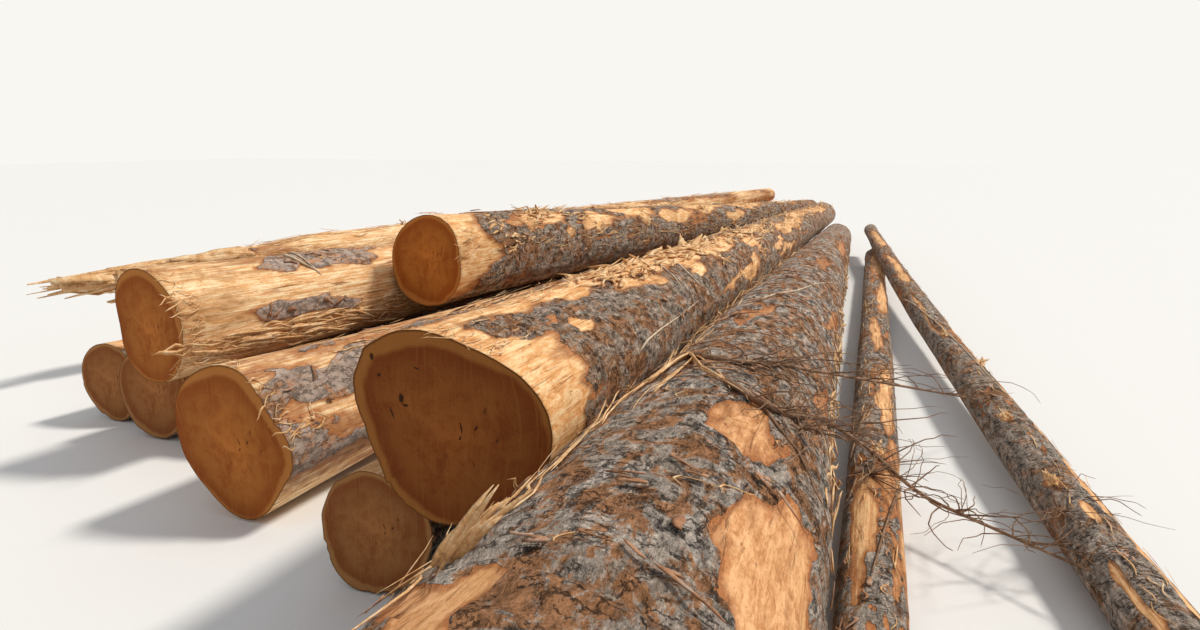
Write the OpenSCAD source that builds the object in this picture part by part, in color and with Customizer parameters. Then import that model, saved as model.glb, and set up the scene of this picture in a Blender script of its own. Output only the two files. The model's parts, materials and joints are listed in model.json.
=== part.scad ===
// A deck of sawn timber logs lying side by side and on each other beside a forest road.
// Lengths are millimetres. Y runs along the logs, from the end that faces the viewer to the far end.
// Each log is lofted through rings of points. A log that lies on others is let down until it bears on them.

/* [Big butt log] */
// Diameter at the near end, without the swell
big_butt_d = 700; // [600:10:900]
// Diameter at the far end
big_top_d = 440; // [300:10:600]
// Length
big_len = 12200; // [9000:100:13000]
// Butt swell, added to the radius at the near end
big_swell = 18; // [0:1:80]

/* [Barked log] */
// Diameter at the near end, without the swell
barked_butt_d = 970; // [800:10:1050]
// Diameter at the far end
barked_top_d = 450; // [300:10:600]
// Length
barked_len = 12200; // [9000:100:13000]
// Butt swell, added to the radius at the near end
barked_swell = 36; // [0:1:80]

/* [Front log] */
// Diameter at the near end, without the swell
front_butt_d = 640; // [500:10:800]
// Diameter at the far end
front_top_d = 320; // [240:10:500]
// Length
front_len = 12200; // [9000:100:13000]
// Butt swell, added to the radius at the near end
front_swell = 12; // [0:1:60]

/* [Low log] */
// Diameter at the near end
low_butt_d = 500; // [400:10:580]
// Diameter at the far end
low_top_d = 350; // [240:10:420]
// Length
low_len = 12200; // [9000:100:13000]

/* [Small logs] */
// Diameter of the inner small log at the near end
inner_butt_d = 480; // [380:10:540]
// Diameter of the middle small log at the near end
middle_butt_d = 540; // [440:10:600]
// Diameter of the outer small log at the near end
outer_butt_d = 480; // [400:10:560]
// Diameter of the edge log at the near end
edge_butt_d = 500; // [400:10:600]
// Diameter of the rim log at the near end
rim_butt_d = 480; // [400:10:560]
// Diameter of each of these five at the far end
small_top_d = 250; // [200:10:300]
// Length of each of these five, but the rim log
small_len = 11000; // [9000:100:12000]
// Length of the rim log
rim_len = 8500; // [6000:100:9500]

/* [Peeled log] */
// Diameter at the near end, without the swell
peeled_butt_d = 540; // [440:10:640]
// Diameter at the far end
peeled_top_d = 360; // [260:10:460]
// Length
peeled_len = 11600; // [9000:100:13000]
// Butt swell, added to the radius at the near end
peeled_swell = 6; // [0:1:40]

/* [Top log] */
// Diameter at the near end
top_butt_d = 600; // [480:10:700]
// Diameter at the far end
top_top_d = 290; // [220:10:400]
// Length
top_len = 10700; // [8000:100:12000]

/* [Broken log] */
// Diameter where the break begins
broken_butt_d = 480; // [400:10:560]
// Diameter at the far end
broken_top_d = 260; // [200:10:360]
// Length of the whole stem, without the splinters
broken_len = 9300; // [8000:100:10000]
// Reach of the longest splinter past the whole stem
splinter_reach = 1150; // [600:50:1300]
// Width of a splinter where it leaves the stem
splinter_w = 105; // [70:5:130]

/* [Poles] */
// Diameter of the side pole at the near end
side_near_d = 250; // [180:10:320]
// Diameter of the side pole at the far end
side_far_d = 250; // [180:10:320]
// Length of the side pole
side_len = 9750; // [8000:50:11000]
// Diameter of the leaning pole at the near end
lean_near_d = 260; // [180:10:320]
// Diameter of the leaning pole at the far end
lean_far_d = 190; // [140:10:280]
// Length of the leaning pole
lean_len = 10200; // [8000:50:11000]

/* [Gaps on the ground] */
// Low log to barked log, at the near station
low_gap_near = 490; // [300:10:560]
// Low log to barked log, at the far station
low_gap_far = 260; // [200:10:400]
// Front log to low log, at the near station
front_gap_near = 400; // [100:10:460]
// Front log to low log, at the far station
front_gap_far = 80; // [60:5:200]
// Inner small log to front log, at the near station
inner_gap_near = 150; // [100:10:460]
// Inner small log to front log, at the far station
inner_gap_far = 120; // [80:5:200]
// Between the other small logs
small_gap = 45; // [35:1:60]
// Side pole to barked log, at the near station
side_gap_near = 135; // [80:5:200]
// Side pole to barked log, at the far station
side_gap_far = 230; // [120:5:300]
// Leaning pole's reach out from the side pole, at the near station
lean_out_near = 860; // [600:10:1000]
// Leaning pole's reach out from the side pole, at the far station
lean_out_far = -115; // [-160:5:60]

/* [Hidden] */

// How far the near ends stand back from the big butt log's sawn face
barked_near_y = -1400;
front_near_y = 430;
low_near_y = 100;
inner_near_y = 1100;
middle_near_y = 1100;
outer_near_y = 1260;
edge_near_y = 2500;
rim_near_y = 3100;
peeled_near_y = 870;
top_near_y = 2400;
broken_near_y = 3000;
side_near_y = -300;
lean_near_y = 300;

// Planes across the deck at which the logs' places are set
near_station = 1000;
far_station = 11000;
top_station = 3000;
broken_station = 3600;

// Rings
sides = 24;
ring_step = 600;
ring_margin_share = 0.3;

// Wood colours
bark_colour = [0.42, 0.34, 0.28];
peeled_colour = [0.86, 0.62, 0.38];
split_colour = [0.90, 0.70, 0.45];

// Running gap between two logs that bear on each other
seat_clearance = 0.3;
// Spacing of the planes in which two crossing poles are held clear of each other
crossing_step = 100;
// How finely the place of a log in a groove is found, and how far from the round log's place, as a share
settle_step = 1;
settle_share = 0.5;
// Length over which the butt swell dies away
swell_fade = 700;
// Length over which the butt's odd section rounds off, and the share of it that stays
shape_fade = 2200;
shape_stay_share = 0.30;
// Long swellings of a stem, from the years when its whorls of branches were shed: [share, wave length]
whorls = [[0.014, 2900], [0.010, 1750]];

// A log is [near y, length, near diameter, far diameter, swell, shape, sweep, stations, xs, zs].
// Its shape is a list of [lobes, share, turn]: how many lobes, how far they stand out and their turn in degrees.
function near_y(l) = l[0];
function far_y(l) = l[0] + l[1];
function shape(l) = l[5];
function sweep(l) = l[6];
function stations(l) = l[7];
function sum(v) = v * [for (i = v) 1];
function lerp(a, b, t) = a + (b - a) * t;
function along(l, y) = (y - near_y(l)) / l[1];
function station_share(l, y) = (y - stations(l)[0]) / (stations(l)[1] - stations(l)[0]);
function axis_x(l, y) = lerp(l[8][0], l[8][1], station_share(l, y)) + sweep(l) * sin(180 * along(l, y));
function axis_z(l, y) = lerp(l[9][0], l[9][1], station_share(l, y));
function whorl_share(l, y) = sum([for (w = whorls) w[0] * sin(360 * (y + l[2] * w[1] / l[3]) / w[1])]);
function mean_r(l, y) = lerp(l[2], l[3], along(l, y)) / 2 * (1 + whorl_share(l, y))
    + l[4] * exp((near_y(l) - y) / swell_fade);
function shape_share(l, y) = lerp(shape_stay_share, 1, exp((near_y(l) - y) / shape_fade));

// Section of a log round its own axis
function section(l, y) = let (s = shape(l), k = shape_share(l, y), r = mean_r(l, y))
    [for (i = [0:sides - 1]) let (a = 360 * i / sides)
        r * (1 + k * sum([for (f = s) f[1] * cos(f[0] * (a - f[2]))])) * [cos(a), sin(a)]];

// Planes of a log's own rings: its two ends and the shared planes between them
function ring_planes(l) = let (margin = ring_margin_share * ring_step)
    concat([near_y(l)],
        [for (k = [ceil((near_y(l) + margin) / ring_step):floor((far_y(l) - margin) / ring_step)]) k * ring_step],
        [far_y(l)]);

// Ring with x across the deck and z above the log's axis
function ring(l, y) = [for (p = section(l, y)) [axis_x(l, y) + p[0], p[1]]];

// The same at any plane, on the flat facets between two rings
function facet_ring(l, y) = let (ys = ring_planes(l), n = len(ys),
        k = max([for (i = [0:n - 2]) if (i == 0 || ys[i] <= y) i]),
        t = (y - ys[k]) / (ys[k + 1] - ys[k]))
    lerp(ring(l, ys[k]), ring(l, ys[k + 1]), t);

// Height of the edge a-b over x
function edge_z(a, b, x) = a[1] + (b[1] - a[1]) * (x - a[0]) / (b[0] - a[0]);
function spans(a, b, x) = min(a[0], b[0]) < x && x < max(a[0], b[0]);

// Axis height at which ring p just clears ring q beneath it
function clear_height(p, q, q_z) = let (h = sides / 2)
    max(concat([-q_z],
        [for (i = [0:h]) for (j = [h:sides - 1]) let (a = p[j], b = p[(j + 1) % sides])
            if (spans(a, b, q[i][0])) q_z + q[i][1] - edge_z(a, b, q[i][0])],
        [for (i = [h:sides]) for (j = [0:h - 1]) let (v = p[i % sides], a = q[j], b = q[j + 1])
            if (spans(a, b, v[0])) q_z + edge_z(a, b, v[0]) - v[1]]));

function within(l, y) = near_y(l) <= y && y <= far_y(l);
function bearing_planes(l, under, step) = concat(ring_planes(l),
    [for (y = [near_y(l) + step:step:far_y(l) - step]) if (step < ring_step) y],
    [for (u = under) for (y = [near_y(u), far_y(u)]) if (within(l, y)) y]);
function ground_height(p) = -min([for (v = p) v[1]]);

// Lowest axis height at each plane, over the ground and over the logs beneath
function bearing_heights(l, under, step) = [for (y = bearing_planes(l, under, step)) let (p = facet_ring(l, y))
    [y, max(concat([ground_height(p)],
        [for (u = under) if (within(u, y)) clear_height(p, facet_ring(u, y), axis_z(u, y)) + seat_clearance]))]];

// Centre of weight of a tapered stem, from its near end
function weight_y(l) = let (a = l[2], b = l[3])
    near_y(l) + l[1] * (a * a + 2 * a * b + 3 * b * b) / (4 * (a * a + a * b + b * b));

// Height at y of the line through two bearing points
function line_z(pair, y) = edge_z(pair[0], pair[1], y);

// A stiff log rests on the two points, one each side of its weight, whose line lies highest under its weight
function resting_pair(heights, y) = let (
        pairs = [for (a = heights) if (a[0] <= y) for (b = heights) if (b[0] > y) [a, b]],
        levels = [for (p = pairs) line_z(p, y)],
        top = max(levels))
    [for (i = [0:len(pairs) - 1]) if (levels[i] == top) pairs[i]][0];

// A log laid down on the ground and on the logs beneath it
function laid(l, under = [], step = ring_step) =
    let (pair = resting_pair(bearing_heights(l, under, step), weight_y(l)))
    [l[0], l[1], l[2], l[3], l[4], l[5], l[6], l[7], l[8], [for (y = stations(l)) line_z(pair, y)]];

// Distance across between two round logs on the ground, with a gap between them
function beside(a, b, y, gap) = 2 * sqrt(mean_r(a, y) * mean_r(b, y)) + gap;

// Place across of a log in the groove between log a and, to its right, log b, if all were round
function groove_x(a, b, r, y) = let (
        pa = [axis_x(a, y), axis_z(a, y)], pb = [axis_x(b, y), axis_z(b, y)],
        d = norm(pb - pa), ra = mean_r(a, y) + r, rb = mean_r(b, y) + r, u = (pb - pa) / d,
        m = (ra * ra - rb * rb + d * d) / (2 * d),
        h = sqrt(max(0, ra * ra - m * m)))
    pa[0] + m * u[0] - h * u[1];

// Height at which a log's section bears on both, when it stands at x
function groove_height(l, a, b, y, x) = let (p = [for (v = section(l, y)) v + [x, 0]])
    max([for (u = [a, b]) clear_height(p, ring(u, y), axis_z(u, y))]);

// The log rolls down until it stands lowest between x - reach and x + reach
function lowest_x(l, a, b, y, x, reach) = reach < settle_step ? x :
    let (left = groove_height(l, a, b, y, x - reach / 3), right = groove_height(l, a, b, y, x + reach / 3))
    lowest_x(l, a, b, y, left < right ? x - reach / 3 : x + reach / 3, reach * 2 / 3);

ground_stations = [near_station, far_station];
top_stations = [top_station, far_station];
broken_stations = [broken_station, far_station];

// A log with no place across yet
function stem(near, len, near_d, far_d, swell, shape, sweep, stations) =
    [near, len, near_d, far_d, swell, shape, sweep, stations, [0, 0], [0, 0]];
function at_x(l, xs) = [l[0], l[1], l[2], l[3], l[4], l[5], l[6], l[7], xs, l[9]];

// A log on the ground, to the left (side -1) or the right (side 1) of another
function laid_beside(l, other, side, gaps) = laid(at_x(l, [for (i = [0, 1]) let (y = stations(l)[i])
    axis_x(other, y) + side * beside(l, other, y, gaps[i])]));

// A log in a groove: pairs names the two logs on each side at each station, under all that it may touch
function laid_in_groove(l, pairs, under) = laid(at_x(l, [for (i = [0, 1]) let (y = stations(l)[i])
    lowest_x(l, pairs[i][0], pairs[i][1], y, groove_x(pairs[i][0], pairs[i][1], mean_r(l, y), y),
        settle_share * mean_r(l, y))]), under);

// The ground row, from the barked log outwards
barked = laid(stem(barked_near_y, barked_len, barked_butt_d, barked_top_d, barked_swell,
    [[2, 0.02, 20], [3, 0.015, 90]], -30, ground_stations));
low = laid_beside(stem(low_near_y, low_len, low_butt_d, low_top_d, 0,
    [[2, 0.05, 60], [3, 0.04, 0], [5, 0.02, 20]], 15, ground_stations), barked, -1, [low_gap_near, low_gap_far]);
front = laid_beside(stem(front_near_y, front_len, front_butt_d, front_top_d, front_swell,
    [[2, 0.11, 114], [4, 0.044, -2], [5, 0.038, -3]], 20, ground_stations), low, -1, [front_gap_near, front_gap_far]);
inner = laid_beside(stem(inner_near_y, small_len, inner_butt_d, small_top_d, 0,
    [[2, 0.02, 0], [3, 0.01, 30]], 10, ground_stations), front, -1, [inner_gap_near, inner_gap_far]);
middle = laid_beside(stem(middle_near_y, small_len, middle_butt_d, small_top_d, 0,
    [[2, 0.05, 80], [3, 0.03, 30]], 10, ground_stations), inner, -1, [small_gap, small_gap]);
outer = laid_beside(stem(outer_near_y, small_len, outer_butt_d, small_top_d, 0,
    [[2, 0.06, 100], [3, 0.03, 50]], 10, ground_stations), middle, -1, [small_gap, small_gap]);
edge = laid_beside(stem(edge_near_y, small_len, edge_butt_d, small_top_d, 0,
    [[2, 0.02, 10], [3, 0.01, 40]], 10, ground_stations), outer, -1, [small_gap, small_gap]);
rim = laid_beside(stem(rim_near_y, rim_len, rim_butt_d, small_top_d, 0,
    [[2, 0.03, 70], [3, 0.01, 20]], 10, ground_stations), edge, -1, [small_gap, small_gap]);
side = laid_beside(stem(side_near_y, side_len, side_near_d, side_far_d, 0,
    [[2, 0.03, 40], [3, 0.01, 20]], 12, ground_stations), barked, 1, [side_gap_near, side_gap_far]);

// The logs that lie on others
leaning = laid(at_x(stem(lean_near_y, lean_len, lean_near_d, lean_far_d, 0,
    [[2, 0.02, 30], [3, 0.01, 70]], -70, ground_stations),
    [axis_x(side, near_station) + lean_out_near, axis_x(side, far_station) + lean_out_far]), [side], crossing_step);
big = laid_in_groove(stem(0, big_len, big_butt_d, big_top_d, big_swell,
    [[2, 0.055, 157], [3, 0.085, 14], [4, 0.014, -11]], -10, ground_stations), [[low, barked], [low, barked]], [low, barked]);
peeled = laid_in_groove(stem(peeled_near_y, peeled_len, peeled_butt_d, peeled_top_d, peeled_swell,
    [[2, 0.18, 98], [3, 0.04, 4], [4, 0.02, 23]], 10, ground_stations), [[middle, inner], [inner, front]],
    [middle, inner, front, outer]);
top = laid_in_groove(stem(top_near_y, top_len, top_butt_d, top_top_d, 0,
    [[2, 0.075, 85], [3, 0.027, 72], [4, 0.013, -32]], 12, top_stations), [[peeled, front], [peeled, front]],
    [peeled, front, low, big, inner]);
broken = laid_in_groove(stem(broken_near_y, broken_len, broken_butt_d, broken_top_d, 0,
    [[2, 0.03, 20], [3, 0.015, 50]], 0, broken_stations), [[rim, edge], [outer, peeled]],
    [rim, edge, outer, middle, peeled, top]);

// Splinters at the broken log's near end: [turn, reach as a share, depth from the bark as a share, width share]
splinters = [[152, 1.00, 0.10, 1.0], [118, 0.62, 0.24, 0.8], [178, 0.80, 0.30, 0.9], [204, 0.92, 0.14, 0.8],
    [236, 0.70, 0.22, 1.0], [86, 0.50, 0.12, 0.9], [262, 0.44, 0.34, 0.8], [52, 0.34, 0.16, 1.1],
    [14, 0.28, 0.20, 1.2], [-30, 0.40, 0.15, 1.0], [120, 0.30, 0.62, 0.7], [220, 0.36, 0.64, 0.7]];
splinter_root = 150;
splinter_tip_share = 0.22;
splinter_depth_share = 0.30;

// Cross-section of a splinter at y: a slice of the stem, w wide, whose outer face is depth in from the bark
function splinter_ring(l, turn, depth, w, y) = let (
        r = mean_r(l, max(y, near_y(l))) * (1 - l[5][0][1]) * (1 - depth),
        half = w / r * 90 / PI)
    [for (c = [[r - w * splinter_depth_share * 2, -half], [r, -half], [r, half], [r - w * splinter_depth_share * 2, half]])
        [axis_x(l, y) + c[0] * cos(turn + c[1]), y, axis_z(l, y) + c[0] * sin(turn + c[1])]];
function splinter_rings(l, f) = let (y = near_y(l), w = splinter_w * f[3], reach = splinter_reach * f[1])
    [splinter_ring(l, f[0], f[2] + splinter_tip_share / 2, w * splinter_tip_share, y - reach),
        splinter_ring(l, f[0], f[2], w * (1 + splinter_tip_share) / 2, y - reach / 2),
        splinter_ring(l, f[0], f[2], w, y + splinter_root)];

ALL_LOGS = [big, barked, front, low, inner, middle, outer, edge, rim, peeled, top, broken, side, leaning];

// Points of a log's rings in the deck
function ring_points(l, y) = [for (p = ring(l, y)) [p[0], y, p[1] + axis_z(l, y)]];
all_points = concat(
    [for (l = ALL_LOGS) for (y = [near_y(l), far_y(l)]) for (p = ring_points(l, y)) p],
    [for (f = splinters) for (ring = splinter_rings(broken, f)) for (p = ring) p]);
deck_low_x = min([for (p = all_points) p[0]]);
deck_high_x = max([for (p = all_points) p[0]]);
deck_low_y = min([for (p = all_points) p[1]]);
deck_high_y = max([for (p = all_points) p[1]]);
to_frame = -[(deck_low_x + deck_high_x) / 2, (deck_low_y + deck_high_y) / 2, 0];

// Loft through rings of as many points each, from the near one to the far one
module loft(rings) {
    n = len(rings);
    around = len(rings[0]);
    walls = [for (k = [0:n - 2]) for (i = [0:around - 1]) let (j = (i + 1) % around,
            a = k * around + i, b = k * around + j, c = a + around, d = b + around)
        for (f = [[a, b, d], [a, d, c]]) f];
    near_cap = [for (i = [0:around - 1]) around - 1 - i];
    far_cap = [for (i = [0:around - 1]) (n - 1) * around + i];
    polyhedron(points = [for (r = rings) for (p = r) p], faces = concat([near_cap], walls, [far_cap]));
}

module log_solid(l) {
    loft([for (y = ring_planes(l)) ring_points(l, y)]);
}

// A stem torn off at its near end, with the splinters left standing
module torn_solid(l) {
    union() {
        log_solid(l);
        for (f = splinters) loft(splinter_rings(l, f));
    }
}

module placed(colour) {
    color(colour) translate(to_frame) children();
}

placed(peeled_colour) log_solid(big);  // big_butt_log
placed(bark_colour) log_solid(barked);  // barked_log
placed(peeled_colour) log_solid(front);  // front_log
placed(bark_colour) log_solid(low);  // low_log
placed(bark_colour) log_solid(inner);  // inner_small_log
placed(bark_colour) log_solid(middle);  // middle_small_log
placed(bark_colour) log_solid(outer);  // outer_small_log
placed(bark_colour) log_solid(edge);  // edge_log
placed(bark_colour) log_solid(rim);  // rim_log
placed(peeled_colour) log_solid(peeled);  // peeled_log
placed(bark_colour) log_solid(top);  // top_log
placed(split_colour) torn_solid(broken);  // broken_log
placed(bark_colour) log_solid(side);  // side_pole
placed(bark_colour) log_solid(leaning);  // leaning_pole
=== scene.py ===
# %% [markdown]
# A deck of sawn logs: thick barked stems, peeled ones, and two thin poles beside them.
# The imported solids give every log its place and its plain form. This script gives each one its skin:
# bark in plates, bare fibrous wood where the bark tore off, sawn ends with rings, and torn splinters.

import json
import math
import random

import bmesh
import bpy
import numpy as np
from mathutils import Matrix, Vector, noise


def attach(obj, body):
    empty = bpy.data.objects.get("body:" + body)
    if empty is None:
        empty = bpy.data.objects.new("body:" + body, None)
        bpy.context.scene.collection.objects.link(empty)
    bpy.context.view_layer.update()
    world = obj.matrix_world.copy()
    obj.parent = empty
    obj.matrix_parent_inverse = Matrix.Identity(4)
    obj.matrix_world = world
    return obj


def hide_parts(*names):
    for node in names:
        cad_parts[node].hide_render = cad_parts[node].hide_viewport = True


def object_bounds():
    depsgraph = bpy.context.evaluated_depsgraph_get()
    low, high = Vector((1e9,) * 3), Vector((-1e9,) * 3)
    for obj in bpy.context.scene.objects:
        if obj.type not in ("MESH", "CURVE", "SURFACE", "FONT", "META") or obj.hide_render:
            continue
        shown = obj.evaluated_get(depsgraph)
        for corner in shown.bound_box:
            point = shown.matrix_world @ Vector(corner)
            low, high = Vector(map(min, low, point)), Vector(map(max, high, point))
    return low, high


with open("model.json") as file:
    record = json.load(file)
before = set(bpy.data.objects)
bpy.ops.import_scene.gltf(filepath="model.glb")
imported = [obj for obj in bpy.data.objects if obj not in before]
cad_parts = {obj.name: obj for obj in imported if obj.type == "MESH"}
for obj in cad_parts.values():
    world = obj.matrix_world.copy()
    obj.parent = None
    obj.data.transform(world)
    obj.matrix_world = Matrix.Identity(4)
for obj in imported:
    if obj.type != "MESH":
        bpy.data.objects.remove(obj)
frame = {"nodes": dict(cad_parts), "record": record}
cad_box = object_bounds()
nodes = frame["nodes"]
scene = bpy.context.scene
print("logs in the frame:", len(nodes), "box", [tuple(round(c, 3) for c in corner) for corner in cad_box])

# %% [markdown]
# The camera stands at a grown person's eye height, a pace behind the nearest butt, and looks down the deck.
# It is made first, because the skins get their finest mesh where it sees them close up.

# %% Camera
butt_face = Vector(next(m["pos_m"] for m in frame["record"]["mounts"] if m["name"] == "big_butt_face"))
eye = Vector((butt_face.x + 1.304, butt_face.y - 2.248, 1.70))
yaw_left = math.radians(18.7)
pitch_down = math.radians(12.24)
camera_data = bpy.data.cameras.new("deck_camera")
camera_data.lens = 24.0
camera_data.sensor_width = 36.0
camera = bpy.data.objects.new("deck_camera", camera_data)
camera.location = eye
camera.rotation_euler = (math.radians(90) - pitch_down, 0.0, yaw_left)
scene.collection.objects.link(camera)
scene.camera = camera
scene.view_settings.view_transform = "Standard"
print("eye at", tuple(round(c, 3) for c in eye))

# %% [markdown]
# A log's solid is a loft with one ring of corners every 80 cm. Reading those rings back gives, for any
# distance along the log and any angle round it, where the surface is. Everything that lies on a log,
# from a bark plate to a splinter, is then placed by those two numbers and so sits on the wood.

# %% Read a log's rings
ROUND = 360


def read_rings(name):
    mesh = nodes[name].data
    co = np.empty(len(mesh.vertices) * 3)
    mesh.vertices.foreach_get("co", co)
    co = np.unique(np.round(co.reshape(-1, 3), 4), axis=0)
    levels = np.unique(co[:, 1])
    rings = []
    for level in levels:
        ring = co[co[:, 1] == level]
        if len(ring) < 12:
            continue
        middle = ring.mean(0)
        angle = np.arctan2(ring[:, 2] - middle[2], ring[:, 0] - middle[0])
        reach = np.hypot(ring[:, 0] - middle[0], ring[:, 2] - middle[2])
        order = np.argsort(angle)
        around = np.radians(np.arange(ROUND) - 180)
        profile = np.interp(around, angle[order], reach[order], period=2 * math.pi)
        for _ in range(3):
            profile = (np.roll(profile, 4) + profile + np.roll(profile, -4)) / 3
        rings.append((level, middle, profile))
    return {
        "y": np.array([r[0] for r in rings]),
        "middle": np.array([r[1] for r in rings]),
        "profile": np.array([r[2] for r in rings]),
    }


def surface(log, s, angle, sink=0.0):
    """Points at s metres from the near end and angle degrees round from +X, sunk into the wood."""
    y = log["y"][0] + s
    k = np.clip(np.searchsorted(log["y"], y) - 1, 0, len(log["y"]) - 2)
    t = (y - log["y"][k]) / (log["y"][k + 1] - log["y"][k])
    middle = log["middle"][k] * (1 - t)[:, None] + log["middle"][k + 1] * t[:, None]
    a = (angle + 180) % 360
    i = np.floor(a).astype(int) % ROUND
    f = a - np.floor(a)
    near = log["profile"][k, i] * (1 - f) + log["profile"][k, (i + 1) % ROUND] * f
    far = log["profile"][k + 1, i] * (1 - f) + log["profile"][k + 1, (i + 1) % ROUND] * f
    reach = near * (1 - t) + far * t - sink
    c, z = np.cos(np.radians(angle)), np.sin(np.radians(angle))
    points = np.stack([middle[:, 0] + reach * c, y, middle[:, 2] + reach * z], 1)
    return points, reach


logs = {name: read_rings(name) for name in nodes}
for name, log in logs.items():
    print(name, "rings", len(log["y"]), "length", round(float(np.ptp(log["y"])), 2))

# %% [markdown]
# Bark comes off a felled log in patches. Each log has a list of them: how far along, at what angle, how
# long and how wide, and whether bark is put on or taken away there. Noise makes their edges ragged.
# The number that comes out is kept on the mesh as an attribute, so relief and colour agree on it.

# %% Where each log keeps its bark
# base cover, bark thickness, and patches: (metres along, degrees, half length, half width, change)
COVER = {
    "big_butt_log": (0.86, 0.016, [
        (0.0, 10, 0.34, 150, -1.7), (0.30, 60, 0.20, 13, 1.5), (0.70, 47, 0.15, 9, -1.5), (1.9, 100, 2.1, 24, -1.6), (3.3, 80, 1.5, 24, -1.3), (3.7, 14, 0.9, 10, -1.1),
        (0.9, 140, 1.6, 17, 0.5), (1.7, 66, 0.30, 10, -1.0), (5.4, 80, 0.9, 20, -1.3), (4.6, 48, 0.5, 15, -1.3), (5.7, 30, 0.5, 12, -1.2),
        (7.0, 55, 1.1, 24, -1.2), (8.8, 80, 1.3, 28, -1.2), (6.0, 8, 0.8, 11, -1.0), (10.4, 60, 1.0, 26, -1.1), (2.7, 52, 0.35, 11, -1.2),
    ]),
    "barked_log": (0.98, 0.022, [
        (0.80, 40, 0.44, 27, -1.9), (1.52, 56, 0.13, 24, -1.4), (0.16, 106, 0.13, 12, -1.5), (2.5, 22, 0.30, 12, -1.0),
        (4.2, 28, 0.5, 12, -1.0), (3.3, 100, 0.3, 9, -0.8), (6.4, 60, 0.6, 14, -0.9), (9.0, 40, 0.9, 20, -0.9),
    ]),
    "front_log": (0.26, 0.013, [
        (0.44, 47, 0.46, 25, 1.7), (1.9, 30, 1.0, 20, 0.6), (4.0, 60, 1.6, 30, 0.4), (7.5, 80, 2.5, 50, 0.5),
    ]),
    "low_log": (0.70, 0.012, [(0.2, 90, 0.5, 60, -0.8), (2.5, 90, 1.2, 40, -0.5)]),
    "inner_small_log": (0.75, 0.009, []),
    "middle_small_log": (0.70, 0.010, [(0.2, 60, 0.4, 70, -0.8)]),
    "outer_small_log": (0.65, 0.010, [(0.2, 120, 0.5, 70, -0.9)]),
    "edge_log": (0.70, 0.010, [(1.5, 120, 1.2, 60, -0.7), (6.0, 100, 2.0, 40, -0.5)]),
    "rim_log": (0.60, 0.010, [(1.5, 120, 1.2, 60, -0.7), (5.0, 100, 2.0, 40, -0.5)]),
    "peeled_log": (0.10, 0.012, [
        (1.12, 74, 0.50, 26, 1.8), (0.78, -5, 0.42, 14, 1.7), (4.0, 30, 1.2, 22, 0.7), (7.5, 60, 2.2, 50, 0.5),
    ]),
    "top_log": (0.74, 0.014, [
        (0.0, 70, 0.46, 150, -1.5), (0.9, -32, 1.1, 34, 0.6), (1.15, 62, 0.40, 26, -1.1), (1.95, 48, 0.42, 20, -1.0),
        (2.8, 74, 0.55, 30, -1.3), (3.8, 45, 0.60, 22, -1.2), (4.9, 80, 0.7, 38, -1.3), (6.6, 80, 1.0, 38, -1.2), (5.8, 30, 0.5, 20, -1.1),
        (8.6, 90, 0.9, 40, -0.7),
    ]),
    "broken_log": (0.22, 0.010, [(3.0, 60, 1.0, 30, 0.4), (6.5, 60, 1.5, 30, 0.4)]),
    "side_pole": (0.60, 0.007, [(1.0, 118, 0.6, 26, -0.7), (2.8, 55, 0.8, 26, -0.9), (4.4, 95, 0.7, 22, -0.7), (6.1, 50, 1.1, 34, -0.8),
                                (8.4, 80, 1.0, 40, -0.6)]),
    "leaning_pole": (0.68, 0.007, [(0.9, 50, 1.1, 13, -1.6), (2.6, 46, 1.4, 12, -1.4), (0.95, 92, 0.13, 13, -1.2), (4.4, 120, 0.9, 12, -0.8), (0.35, 122, 0.3, 14, -1.0),
                                   (6.4, 100, 1.0, 26, -0.8), (8.7, 100, 1.2, 40, -0.7)]),
}
# torn knots: metres along, degrees, and size in metres
KNOTS = {
    "top_log": [(0.92, 44, 0.045), (1.45, 24, 0.045), (1.95, 30, 0.040), (3.0, 52, 0.095), (4.7, 56, 0.070), (6.5, 62, 0.110), (8.2, 70, 0.08)],
    "big_butt_log": [(2.05, 88, 0.07), (3.3, 64, 0.08), (4.6, 48, 0.09), (5.5, 74, 0.09), (7.2, 52, 0.11), (8.9, 70, 0.12)],
    "leaning_pole": [(1.15, 122, 0.028), (1.9, 116, 0.030), (2.9, 70, 0.028), (3.6, 108, 0.028)],
    "side_pole": [(1.9, 84, 0.032), (3.3, 70, 0.032)],
    "broken_log": [(1.6, 80, 0.06), (4.4, 64, 0.08)],
}
SLOT = {part["node"]: part["material_slot"] for part in frame["record"]["subparts"]}
print("logs with patches:", len(COVER), "of", len(nodes))


def sampled_noise(points, seed):
    shift = Vector((seed * 3.7, seed * 1.3, seed * 5.1))
    return np.array([noise.noise(Vector(p) + shift) for p in points])


def knot_field(name, s, angle, reach):
    """1 in the middle of a torn knot, 0 away from it."""
    field = np.zeros(len(s))
    for along, around, size in KNOTS.get(name, ()):
        off = np.radians((angle - around + 180) % 360 - 180) * reach
        field += np.exp(-((s - along) ** 2 + off ** 2) / size ** 2)
    return field


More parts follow.
